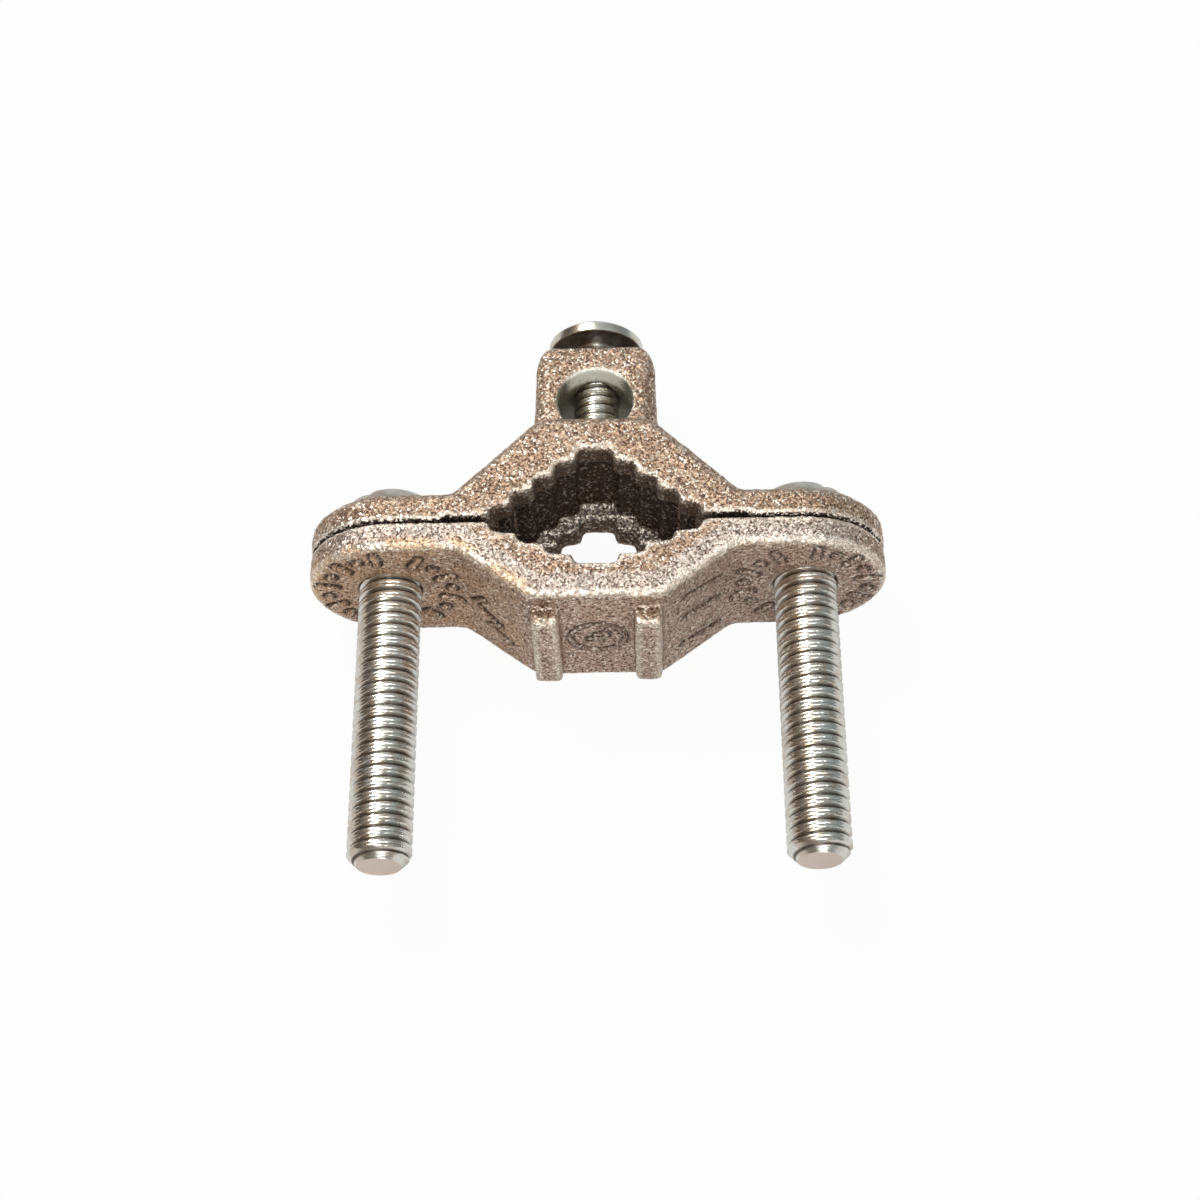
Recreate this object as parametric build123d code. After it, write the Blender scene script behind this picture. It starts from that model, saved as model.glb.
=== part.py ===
from build123d import *
from math import atan2, cos, radians, sin, tan
import os

# Bronze earth rod clamp: two cast jaws with serrated V grips, drawn together by two
# 1/4-20 round head screws, and a lug with a wire hole and its own wire screw.
# Millimetres. Z runs along the rod, X from screw to screw, Y from the screw tips to the lug.
# The origin is on the rod's axis, in the parting plane, half way across the jaws' width.

# --- both jaws -----------------------------------------------------------------------
SCREW_SPACING = 42.0          # between the two clamp screws' axes
JAW_WIDTH = 17.5              # along the rod
PARTING_GAP = 0.2             # between the jaws as delivered
EAR_END_INSET = 0.6           # ear arc's centre, inboard of the screw's axis
GRIP_HALF_WIDTH = 10.4        # mouth of each V, at the parting plane
GRIP_WALL = 3.1               # thickness of each serrated side wall
POCKET_LEDGE = 0.4            # how much wider the hollow between the side walls is

# --- upper jaw -----------------------------------------------------------------------
UPPER_EAR = 3.4               # thickness of the ears
UPPER_SLOPE_FOOT = 14.4       # half distance between the feet of the outer slopes
UPPER_TOP_HALF = 5.6          # half width of the flat above the grip
UPPER_GRIP_HEIGHT = 7.9       # from the parting face to the crown
UPPER_CROWN_HALF = 1.75       # half width of the grip's crown
UPPER_STEPS = 5               # serrations on each side
UPPER_TREAD_RISE = 0.36       # each serration's own slope
UPPER_ROOF = 4.2              # casting above the crown
UPPER_SKIN = 2.1              # wall left above the hollow's crown
UPPER_FOOT_ROUND = 1.3        # at the feet of the slopes
UPPER_TOP_ROUND = 1.6         # at the top of the slopes
UPPER_RIM = 0.9               # bevel along the outer rims, from ear to ear
RELIEF_HALF = 15.2            # parting face set back beside the grip
RELIEF_DEPTH = 0.35

# --- lug and wire hole ---------------------------------------------------------------
LUG_WIDTH = 12.9              # across, at its foot
LUG_DEPTH = 10.6              # along the rod
LUG_CORNER = 2.4              # plan corners
LUG_DRAFT = 1.6               # degrees
LUG_SHOULDER = 2.7            # rounding of the two upper shoulders
LUG_TOP_EDGE = 0.7            # rounding round the flat top
LUG_CAP = 3.15                # wall above the wire hole, where the wire screw is threaded
WIRE_HOLE_DIAMETER = 7.65
WIRE_HOLE_SILL = 0.15         # hole's lowest point above the jaw's flat top

# --- lower jaw -----------------------------------------------------------------------
LOWER_EAR = 3.0
LOWER_SLOPE_FOOT = 13.9
LOWER_TOP_HALF = 6.5
LOWER_GRIP_HEIGHT = 4.8
LOWER_CROWN_HALF = 2.1
LOWER_STEPS = 4
LOWER_TREAD_RISE = 0.2
LOWER_ROOF = 3.75
LOWER_SKIN = 2.1
LOWER_FOOT_ROUND = 3.0
LOWER_TOP_ROUND = 1.8
LOWER_RIM = 0.4
PAD_RIB_SPACING = 10.2        # two raised ribs across the flat underside
PAD_RIB_WIDTH = 2.9
PAD_RIB_HEIGHT = 2.0
PAD_RIB_LENGTH = 12.5
PAD_RIB_EDGE = 0.45
PAD_RIB_DRAFT = 2.0           # degrees

# --- clamp screws, 1/4-20 UNC round head -----------------------------------------------
CLAMP_SCREW_DIAMETER = 6.3
CLAMP_SCREW_LENGTH = 36.5     # under the head
CLAMP_TIP_CHAMFER = 1.0
CLAMP_HEAD_DIAMETER = 12.0
CLAMP_HEAD_HEIGHT = 4.45
CLAMP_HEAD_RIM = 0.5
CLAMP_SLOT_WIDTH = 1.8
CLAMP_SLOT_DEPTH = 2.5
CLAMP_SLOT_ANGLE = 34.0       # as the screws were left, from the rod's direction
CLAMP_HOLE_PLAY = 0.4         # radial, in the upper jaw's plain holes

# --- wire screw, 10-24 UNC round head --------------------------------------------------
WIRE_SCREW_DIAMETER = 4.75
WIRE_SCREW_LENGTH = 12.1
WIRE_TIP_CHAMFER = 0.5
WIRE_TIP_GAP = 0.6            # above the bottom of the wire hole
WIRE_HEAD_DIAMETER = 10.0
WIRE_HEAD_HEIGHT = 3.1
WIRE_HEAD_RIM = 0.95
WIRE_SLOT_WIDTH = 1.3
WIRE_SLOT_DEPTH = 1.5
WIRE_SLOT_ANGLE = 31.0

THREAD_PLAY = 0.06            # radial, between a thread's crest and its tapped hole

# --- places that follow from the sizes above -------------------------------------------
HALF_GAP = PARTING_GAP / 2
SCREW_X = SCREW_SPACING / 2
EAR_RADIUS = JAW_WIDTH / 2
EAR_CENTRE_X = SCREW_X - EAR_END_INSET
POCKET_HALF_DEPTH = JAW_WIDTH / 2 - GRIP_WALL
UPPER_SEAT_Y = HALF_GAP + UPPER_EAR
UPPER_TOP_Y = HALF_GAP + UPPER_GRIP_HEIGHT + UPPER_ROOF
WIRE_HOLE_Y = UPPER_TOP_Y + WIRE_HOLE_SILL + WIRE_HOLE_DIAMETER / 2
LUG_TOP_Y = WIRE_HOLE_Y + WIRE_HOLE_DIAMETER / 2 + LUG_CAP
WIRE_TIP_Y = WIRE_HOLE_Y - WIRE_HOLE_DIAMETER / 2 + WIRE_TIP_GAP
WIRE_SEAT_Y = WIRE_TIP_Y + WIRE_SCREW_LENGTH
MIRRORED = [-1, 1]
BEYOND = SCREW_SPACING + CLAMP_SCREW_LENGTH     # outside the clamp, for cuts right through


def mirrored_outline(half):
    """Closed face from the points of one half, listed away from the middle plane."""
    other = [(-x, y) for x, y in reversed(half)]
    return make_face(Polyline(*(half + other), close=True))


def rounded(face, points, radius):
    """The face with the corners nearest to the given points rounded."""
    picked = []
    for x, y in points:
        for side in MIRRORED:
            spot = Vector(side * x, y, 0)
            picked.append(min(face.vertices(), key=lambda v: (Vector(v) - spot).length))
    return fillet(picked, radius)


def through(face, half_depth):
    """A profile run equally to both sides of the middle plane."""
    return extrude(face, amount=half_depth, both=True)


def plan_outline():
    """Plan of a jaw, seen along Y: straight flanks and round ear ends."""
    spine = SlotCenterToCenter(2 * EAR_CENTRE_X, 2 * EAR_RADIUS)
    return extrude(Plane.XZ * spine, amount=BEYOND, both=True)


def outer_profile(ear, foot, top_half, top_y, foot_round, top_round):
    """Flat ears, two slopes and a flat top; the parting face lies at HALF_GAP."""
    reach = EAR_CENTRE_X + EAR_RADIUS
    seat = HALF_GAP + ear
    face = mirrored_outline([(top_half, top_y), (foot, seat), (reach, seat), (reach, HALF_GAP)])
    face = rounded(face, [(foot, seat)], foot_round)
    return rounded(face, [(top_half, top_y)], top_round)


def grip_profile(crown_half, height, steps, tread_rise):
    """Serrated V: risers joined by gently sloping treads, up to a flat crown."""
    pitch = (GRIP_HALF_WIDTH - crown_half) / (steps - 1)
    riser = (height - (steps - 1) * tread_rise) / steps
    level = HALF_GAP
    half = [(GRIP_HALF_WIDTH, HALF_GAP - height)]
    for step in range(steps):
        x = GRIP_HALF_WIDTH - step * pitch
        if step:
            half.append((x, level))
        level += riser
        half.append((x, level))
        level += tread_rise
    return mirrored_outline(list(reversed(half)))


def pocket_profile(grip, depth):
    """Hollow between the serrated walls: it repeats their steps, further into the jaw."""
    return offset(Pos(0, depth - POCKET_LEDGE) * grip, POCKET_LEDGE, kind=Kind.INTERSECTION)


def jaw_blank(ear, foot, top_half, top_y, foot_round, top_round, rim):
    """The outer form common to both jaws, open side down, its outer rim bevelled."""
    profile = outer_profile(ear, foot, top_half, top_y, foot_round, top_round)
    body = through(profile, JAW_WIDTH) & plan_outline()
    flank = body.faces().sort_by(Axis.Z)[-1]
    top_line = flank.edges().sort_by(Axis.Y)[-1]    # the bevel follows the whole rim from it
    return chamfer(top_line, rim)


def along_y(x, z, radius, low, high):
    """A cylinder along Y between two levels."""
    return Pos(x, (low + high) / 2, z) * Rot(90, 0, 0) * Cylinder(radius, high - low)


def flanked(width, root, top, draft, radius):
    """One side view of a cast block: flanks that lean in, its two upper corners rounded."""
    lean = (top - root) * tan(radians(draft))
    face = mirrored_outline([(width / 2 - lean, top), (width / 2, root)])
    return rounded(face, [(width / 2 - lean, top)], radius)


def cast_block(plan, root, top, draft, width_round, depth_round):
    """Drafted block on the given plan, its upper edges rounded in both side views."""
    size = plan.bounding_box().size
    base = Plane((0, root, 0), x_dir=(1, 0, 0), z_dir=(0, 1, 0))
    column = extrude(base * plan, amount=top - root)
    front = through(flanked(size.X, root, top, draft, width_round), size.Y)
    flank = through(flanked(size.Y, root, top, draft, depth_round), size.X)
    return column & front & Rot(0, 90, 0) * flank


def lug():
    """Block for the wire hole, with round plan corners and round shoulders."""
    plan = RectangleRounded(LUG_WIDTH, LUG_DEPTH, LUG_CORNER)
    root = UPPER_TOP_Y - UPPER_SKIN / 2
    return cast_block(plan, root, LUG_TOP_Y, LUG_DRAFT, LUG_SHOULDER, LUG_TOP_EDGE)


def upper_jaw():
    """Upper casting: hollow V, plain screw holes in the ears, lug with the wire hole."""
    grip = grip_profile(UPPER_CROWN_HALF, UPPER_GRIP_HEIGHT, UPPER_STEPS, UPPER_TREAD_RISE)
    body = jaw_blank(UPPER_EAR, UPPER_SLOPE_FOOT, UPPER_TOP_HALF, UPPER_TOP_Y,
                     UPPER_FOOT_ROUND, UPPER_TOP_ROUND, UPPER_RIM) + lug()
    body -= through(grip, JAW_WIDTH)
    body -= through(pocket_profile(grip, UPPER_ROOF - UPPER_SKIN), POCKET_HALF_DEPTH)
    body -= Box(2 * RELIEF_HALF, 2 * (HALF_GAP + RELIEF_DEPTH), 2 * JAW_WIDTH)
    hole_radius = CLAMP_SCREW_DIAMETER / 2 + CLAMP_HOLE_PLAY
    for side in MIRRORED:
        body -= along_y(side * SCREW_X, 0, hole_radius, -BEYOND, BEYOND)
    body -= Pos(0, WIRE_HOLE_Y, 0) * Cylinder(WIRE_HOLE_DIAMETER / 2, BEYOND)
    tapped = WIRE_SCREW_DIAMETER / 2 + THREAD_PLAY
    body -= along_y(0, 0, tapped, WIRE_HOLE_Y, BEYOND)
    return body


def lower_jaw():
    """Lower casting: shallower hollow V, tapped ears, two ribs across the flat underside."""
    bottom = HALF_GAP + LOWER_GRIP_HEIGHT + LOWER_ROOF
    grip = grip_profile(LOWER_CROWN_HALF, LOWER_GRIP_HEIGHT, LOWER_STEPS, LOWER_TREAD_RISE)
    rib = cast_block(Rectangle(PAD_RIB_WIDTH, PAD_RIB_LENGTH), bottom - LOWER_SKIN / 2,
                     bottom + PAD_RIB_HEIGHT, PAD_RIB_DRAFT, PAD_RIB_EDGE, PAD_RIB_EDGE)
    body = jaw_blank(LOWER_EAR, LOWER_SLOPE_FOOT, LOWER_TOP_HALF, bottom,
                     LOWER_FOOT_ROUND, LOWER_TOP_ROUND, LOWER_RIM)
    for side in MIRRORED:
        body += Pos(side * PAD_RIB_SPACING / 2, 0, 0) * rib
    body -= through(grip, JAW_WIDTH)
    body -= through(pocket_profile(grip, LOWER_ROOF - LOWER_SKIN), POCKET_HALF_DEPTH)
    tapped = CLAMP_SCREW_DIAMETER / 2 + THREAD_PLAY
    for side in MIRRORED:
        body -= along_y(side * SCREW_X, 0, tapped, -BEYOND, BEYOND)
    return mirror(body, Plane.XZ)


def slotted_screw(diameter, length, chamfer_size, head, height, rim, slot_width, slot_depth):
    """Round head screw along Y, seat at y = 0, tip downwards, slot along Z."""
    outline = [
        (0, -length), (diameter / 2 - chamfer_size, -length),
        (diameter / 2, -length + chamfer_size), (diameter / 2, 0), (head / 2, 0),
        (head / 2, rim),
    ]
    swell = ((head / 2) ** 2 + (height - rim) ** 2) / (2 * (height - rim))
    turn = atan2(head / 2, swell - (height - rim)) / 2
    crown = (swell * sin(turn), height - swell + swell * cos(turn))
    dome = ThreePointArc(outline[-1], crown, (0, height))
    section = make_face(Polyline(*outline) + dome + Line((0, height), (0, -length)))
    screw = revolve(section, Axis.Y)
    slot = Pos(0, height, 0) * Box(slot_width, 2 * slot_depth, 2 * head)
    return screw - slot


def clamp_screw(side):
    """One of the two clamp screws, its head down on the upper jaw's ear."""
    screw = slotted_screw(CLAMP_SCREW_DIAMETER, CLAMP_SCREW_LENGTH, CLAMP_TIP_CHAMFER,
                          CLAMP_HEAD_DIAMETER, CLAMP_HEAD_HEIGHT, CLAMP_HEAD_RIM,
                          CLAMP_SLOT_WIDTH, CLAMP_SLOT_DEPTH)
    return Pos(side * SCREW_X, UPPER_SEAT_Y, 0) * Rot(0, side * CLAMP_SLOT_ANGLE, 0) * screw


def wire_screw():
    """The wire screw, turned down through the wire hole."""
    screw = slotted_screw(WIRE_SCREW_DIAMETER, WIRE_SCREW_LENGTH, WIRE_TIP_CHAMFER,
                          WIRE_HEAD_DIAMETER, WIRE_HEAD_HEIGHT, WIRE_HEAD_RIM,
                          WIRE_SLOT_WIDTH, WIRE_SLOT_DEPTH)
    return Pos(0, WIRE_SEAT_Y, 0) * Rot(0, -WIRE_SLOT_ANGLE, 0) * screw


def main():
    os.makedirs("parts", exist_ok=True)
    pieces = {
        "upper_jaw": upper_jaw(),
        "lower_jaw": lower_jaw(),
        "clamp_screw_left": clamp_screw(-1),
        "clamp_screw_right": clamp_screw(1),
        "wire_screw": wire_screw(),
    }
    for name, piece in pieces.items():
        solids = piece.solids()
        box = piece.bounding_box()
        print(name, len(solids), "solid", round(piece.volume, 1), "mm3", box.min, box.max)
        export_step(solids[0] if len(solids) == 1 else piece, f"parts/{name}.step")


main()
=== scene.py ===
"""Dresses the packed earth rod clamp: cast bronze jaws, zinc plated screws and a plain stage.

Sizes are in millimetres unless a name or comment says otherwise, and are turned into metres
where a mesh is made. X runs from clamp screw to clamp screw, Y from the screws' tips to the
wire lug, and Z along the gripped rod.
"""

import math
from typing import NamedTuple

import bmesh
import bpy
import numpy as np
from bpy.props import FloatProperty, FloatVectorProperty, IntProperty, PointerProperty
from mathutils import Matrix, Vector, noise


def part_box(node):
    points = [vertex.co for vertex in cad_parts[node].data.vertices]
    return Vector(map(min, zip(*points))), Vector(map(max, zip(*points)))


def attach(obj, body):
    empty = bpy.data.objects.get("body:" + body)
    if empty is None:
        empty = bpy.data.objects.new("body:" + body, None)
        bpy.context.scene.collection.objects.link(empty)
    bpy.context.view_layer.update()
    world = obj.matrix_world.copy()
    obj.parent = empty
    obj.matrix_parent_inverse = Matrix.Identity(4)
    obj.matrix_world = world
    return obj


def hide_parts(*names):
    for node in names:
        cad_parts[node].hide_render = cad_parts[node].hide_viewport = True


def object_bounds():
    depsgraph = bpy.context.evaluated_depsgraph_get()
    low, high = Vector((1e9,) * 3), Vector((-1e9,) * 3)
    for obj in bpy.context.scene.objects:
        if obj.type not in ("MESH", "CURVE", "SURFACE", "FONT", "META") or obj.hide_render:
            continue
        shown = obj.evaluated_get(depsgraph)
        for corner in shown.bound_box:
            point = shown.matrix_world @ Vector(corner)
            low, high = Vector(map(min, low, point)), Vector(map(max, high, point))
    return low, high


bl_info = {
    "name": "Earth rod clamp",
    "version": (1, 0, 0),
    "blender": (4, 5, 0),
    "location": "3D View > Sidebar > Clamp",
    "description": "Dresses the frame of an earth rod clamp with cast bronze and plated steel",
    "category": "Object",
}

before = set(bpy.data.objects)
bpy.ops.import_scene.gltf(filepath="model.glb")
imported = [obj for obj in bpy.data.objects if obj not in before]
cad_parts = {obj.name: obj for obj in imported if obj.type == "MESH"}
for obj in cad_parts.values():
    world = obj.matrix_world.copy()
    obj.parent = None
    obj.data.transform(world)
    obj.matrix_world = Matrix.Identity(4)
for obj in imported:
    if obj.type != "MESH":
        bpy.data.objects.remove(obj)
CAD_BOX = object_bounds()
MM = 0.001
SIDES = {"left": -1, "right": 1}
WHITE = (1.0, 1.0, 1.0, 1.0)
BLACK = (0.0, 0.0, 0.0, 1.0)


# --- sizes of the solids --------------------------------------------------------------------

def node_box(node):
    """Lowest and highest corner of a node."""
    low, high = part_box(node)
    return low / MM, high / MM


def screw_axis_x(side):
    """Place of a clamp screw's axis along X."""
    low, high = node_box("clamp_screw_" + side)
    return (low.x + high.x) / 2


FLANK_Z = node_box("lower_jaw")[1].z     # half the jaws' width
EAR_CENTRE_X = 20.4                      # centre of the ears' round ends
EAR_SEAT_Y = 3.5                         # top of the upper ears, under the screws' heads
EAR_UNDERSIDE_Y = -3.1                   # underside of the lower ears
LOWER_FLAT_Y = -8.65                     # flat middle of the lower jaw's underside
SLOPE_FOOT_X = 13.9                      # where the lower jaw's slopes leave the ears
SLOPE_TOP_X = 6.5                        # and where they meet the flat middle
WIRE_HOLE_Y = 16.175
WIRE_HOLE_RADIUS = 3.825
LUG_FACE_Z = 5.3                         # front face of the lug, and the back one at minus this


class ScrewForm(NamedTuple):
    """One kind of screw. The slot turns about the screw's axis."""

    radius: float          # over the thread's crests
    tip_chamfer: float
    seat_y: float          # underside of the head
    rim: float             # height of the straight edge under the dome
    crown_y: float         # top of the dome
    slot_width: float
    slot_depth: float
    slot_turn: float       # degrees from the rod's direction


CLAMP_SCREW = ScrewForm(radius=3.15, tip_chamfer=1.0, seat_y=EAR_SEAT_Y, rim=0.5, crown_y=7.95,
                        slot_width=1.8, slot_depth=2.5, slot_turn=34.0)
WIRE_SCREW = ScrewForm(radius=2.375, tip_chamfer=0.65, seat_y=25.05, rim=0.95, crown_y=28.15,
                       slot_width=1.3, slot_depth=1.5, slot_turn=-31.0)


class Lamp(NamedTuple):
    """A soft round lamp that points at the origin. Its place and size are in metres."""

    name: str
    place: tuple
    size: float
    power: str             # the setting that holds its power
    colour: tuple


LAMPS = (
    Lamp("top_lamp", (-0.22, 0.30, 0.55), 0.2, "key_power", (1, 1, 0.98)),
    Lamp("front_lamp", (0.10, -0.42, 0.34), 0.4, "fill_power", (1, 0.98, 0.95)),
    Lamp("near_lamp", (0.01, -0.16, 0.36), 0.12, "near_power", (1, 0.99, 0.97)),
)
ROOM_LEFT = (1.0, 0.90, 0.80, 1.0)       # colour of the room's light from either side
ROOM_RIGHT = (0.90, 0.97, 0.97, 1.0)
FLOOR_HALF = 1.5                         # metres
FLOOR_DROP = 0.02                        # below the clamp's lowest point


# --- settings -------------------------------------------------------------------------------

class CastingSettings(bpy.types.PropertyGroup):
    """Skin of the two sand cast jaws."""

    skin_step: FloatProperty(
        name="Skin step", description="Spacing of the points on the castings' skin",
        default=0.205 * MM, min=0.1 * MM, unit="LENGTH")
    edge_passes: IntProperty(
        name="Edge passes", description="How far the sand has rounded every edge",
        default=7, min=0)
    tooth_passes: IntProperty(
        name="Tooth passes", description="How much further the teeth of the grips are rounded",
        default=16, min=0)
    grain_height: FloatProperty(
        name="Grain height", description="Height of the sand grain on the skin",
        default=0.05 * MM, unit="LENGTH")
    mark_height: FloatProperty(
        name="Mark height", description="How far the plain cast marks stand out",
        default=0.28 * MM, unit="LENGTH")
    bronze: FloatVectorProperty(
        name="Bronze", description="Colour of the clean castings",
        default=(0.485, 0.34, 0.24), subtype="COLOR", size=3, min=0, max=1)
    # Painted glints: near-white specks on a share of the grain's facets, standing in for facets
    # that catch the light.
    glint: FloatVectorProperty(
        name="Spark", description="Colour of the bright crystals in the skin",
        default=(1.0, 0.90, 0.79), subtype="COLOR", size=3, min=0, max=1)
    # Painted light: a bright band along the lower jaw's flanks, and the lit inner faces of the
    # grips' ribs.
    pale: FloatVectorProperty(
        name="Pale", description="Colour of the fettled skin along the lower jaw's flanks",
        default=(0.66, 0.57, 0.51), subtype="COLOR", size=3, min=0, max=1)
    # Painted reflection: undersides tinted paler and greyer, standing in for the floor light they
    # reflect.
    dull: FloatVectorProperty(
        name="Dull", description="Colour of the tarnished undersides",
        default=(0.70, 0.52, 0.43), subtype="COLOR", size=3, min=0, max=1)
    pit: FloatVectorProperty(
        name="Pit", description="Colour of the tarnished pits between the grains",
        default=(0.10, 0.05, 0.035), subtype="COLOR", size=3, min=0, max=1)
    # Yellow tint in patches along the lower jaw's left rim and under its left side, and faintly in
    # patches all over.
    straw: FloatVectorProperty(
        name="Straw", description="Yellow heat tint in patches of the skin",
        default=(0.78, 0.46, 0.20), subtype="COLOR", size=3, min=0, max=1)
    # Painted shade: the black of the grips' hollows and far ribs, of the creases round the marks,
    # of the gap at the parting and of the pad ribs' ends.
    soot: FloatVectorProperty(
        name="Soot", description="Black of the hollows and of the creases round the marks",
        default=(0.035, 0.024, 0.020), subtype="COLOR", size=3, min=0, max=1)
    bore: FloatVectorProperty(
        name="Bore", description="Colour of the freshly drilled wire hole",
        default=(0.34, 0.33, 0.27), subtype="COLOR", size=3, min=0, max=1)
    # Painted reflection: a near-white arc on the wire hole's upper front edge, standing in for the
    # bright floor seen in the bore.
    gleam: FloatVectorProperty(
        name="Gleam", description="Colour of the wire hole's polished upper edge",
        default=(0.97, 0.97, 0.88), subtype="COLOR", size=3, min=0, max=1)


class ScrewSettings(bpy.types.PropertyGroup):
    """Rolled threads and plated finish of the three screws."""

    clamp_pitch: FloatProperty(
        name="Clamp thread pitch", description="1/4-20 thread",
        default=1.27 * MM, unit="LENGTH")
    clamp_depth: FloatProperty(
        name="Clamp thread depth", description="Depth of the clamp screws' thread",
        default=0.42 * MM, unit="LENGTH")
    wire_pitch: FloatProperty(
        name="Wire thread pitch", description="10-24 thread",
        default=1.058 * MM, unit="LENGTH")
    wire_depth: FloatProperty(
        name="Wire thread depth", description="Depth of the wire screw's thread",
        default=0.36 * MM, unit="LENGTH")
    zinc: FloatVectorProperty(
        name="Zinc", description="Colour of the bright plating",
        default=(0.73, 0.735, 0.70), subtype="COLOR", size=3, min=0, max=1)
    # Straw brown in smudges, and in a band down the left of each shank.
    stain: FloatVectorProperty(
        name="Stain", description="Straw brown of the handled plating",
        default=(0.56, 0.45, 0.34), subtype="COLOR", size=3, min=0, max=1)
    steel: FloatVectorProperty(
        name="Steel", description="Colour of the sheared end faces",
        default=(0.60, 0.50, 0.43), subtype="COLOR", size=3, min=0, max=1)
    # Painted shade: dark plating in the thread's root, under the head and on the dome.
    screw_shade: FloatVectorProperty(
        name="Grime", description="Colour of the dull plating in the thread's root",
        default=(0.10, 0.085, 0.07), subtype="COLOR", size=3, min=0, max=1)


class StageSettings(bpy.types.PropertyGroup):
    """Camera, floor and lights."""

    camera_place: FloatVectorProperty(
        name="Camera place", description="Where the camera stands",
        default=(0.0045, -0.1116, 0.1999), subtype="TRANSLATION", unit="LENGTH")
    camera_dip: FloatProperty(
        name="Camera dip", description="How far the camera looks down from level",
        default=math.radians(61.81), subtype="ANGLE")
    camera_turn: FloatProperty(
        name="Camera turn", description="How far the camera looks to the right of +Y",
        default=math.radians(-2.28), subtype="ANGLE")
    camera_roll: FloatProperty(
        name="Camera roll", description="Turn of the camera about its own line of sight",
        default=math.radians(-2.96), subtype="ANGLE")
    camera_lens: FloatProperty(
        name="Lens", description="Focal length in millimetres on a 36 mm sensor",
        default=67.38, min=1)
    floor_tone: FloatVectorProperty(
        name="Floor tone", description="Colour of the floor under the lamps",
        default=(0.55, 0.55, 0.55), subtype="COLOR", size=3, min=0, max=1)
    key_power: FloatProperty(name="Key lamp", description="Power of the lamp above",
                             default=3.3, min=0, unit="POWER")
    fill_power: FloatProperty(name="Fill lamp", description="Power of the front lamp",
                              default=1.2, min=0, unit="POWER")
    near_power: FloatProperty(name="Near lamp", description="Power of the lamp over the viewer",
                              default=0.32, min=0, unit="POWER")
    sky: FloatProperty(name="Room light", description="Strength of the room's own light",
                       default=0.55, min=0)


# --- shader maths ---------------------------------------------------------------------------

class Wire:
    """A socket's value. Python arithmetic on it adds the Math nodes that work it out."""

    def __init__(self, graph, socket):
        self.graph = graph
        self.socket = socket

    def maths(self, operation, first, second, clamp=False):
        settings = {"operation": operation, "use_clamp": clamp}
        return self.graph.node("ShaderNodeMath", settings, {0: first, 1: second})

    def __add__(self, other):
        return self.maths("ADD", self, other)

    def __sub__(self, other):
        return self.maths("SUBTRACT", self, other)

    def __rsub__(self, other):
        return self.maths("SUBTRACT", other, self)

    def __mul__(self, other):
        return self.maths("MULTIPLY", self, other)

    __radd__ = __add__
    __rmul__ = __mul__

    def clamped(self):
        """The value, held between 0 and 1."""
        return self.maths("ADD", self, 0.0, clamp=True)

    def sibling(self, name):
        """Another output of the same node."""
        return Wire(self.graph, self.socket.node.outputs[name])


class Graph:
    """The nodes of one material or world."""

    def __init__(self, tree):
        self.tree = tree
        tree.nodes.clear()

    def node(self, kind, settings=None, values=None, out=0):
        """Adds a node, sets it up, fills its sockets and returns the output asked for."""
        made = self.tree.nodes.new(kind)
        for name, value in (settings or {}).items():
            setattr(made, name, value)
        for name, value in (values or {}).items():
            if isinstance(value, Wire):
                self.tree.links.new(value.socket, made.inputs[name])
            else:
                made.inputs[name].default_value = value
        return Wire(self, made.outputs[out]) if len(made.outputs) else None

    def mix(self, factor, first, second):
        """Colour mix from first at factor 0 to second at factor 1."""
        settings = {"data_type": "RGBA"}
        return self.node("ShaderNodeMix", settings, {0: factor, 6: first, 7: second}, out=2)

    def vector(self, operation, first, second):
        return self.node("ShaderNodeVectorMath", {"operation": operation}, {0: first, 1: second})

    def scaled(self, vector, factor):
        settings = {"operation": "SCALE"}
        return self.node("ShaderNodeVectorMath", settings, {0: vector, "Scale": factor})

    def step(self, value, low, high):
        """0 at low, 1 at high and a smooth rise between, where low may be the greater."""
        settings = {"interpolation_type": "SMOOTHSTEP"}
        return self.node("ShaderNodeMapRange", settings, {0: value, 1: low, 2: high})

    def millimetres(self):
        """Place on the piece, in millimetres."""
        return self.scaled(self.node("ShaderNodeTexCoord", out="Object"), 1 / MM)

    def weight(self, name):
        """A value that was set on the mesh's points."""
        return self.node("ShaderNodeAttribute", {"attribute_name": name}, out="Fac")

    def noise(self, place, scale, detail, roughness=0.5):
        """Noise around 0.5 with so many lumps to a millimetre."""
        return self.node("ShaderNodeTexNoise", None, {
            "Vector": place, "Scale": scale, "Detail": detail, "Roughness": roughness})


def rgba(colour):
    return (*colour, 1.0)


def new_material(name):
    material = bpy.data.materials.new(name)
    material.use_nodes = True
    return material, Graph(material.node_tree)


def finish_material(graph, shader):
    graph.node("ShaderNodeOutputMaterial", None, {"Surface": shader})


CAST_WEIGHTS = ("soot", "worn", "pale", "dull", "straw", "bore", "gleam")


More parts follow.
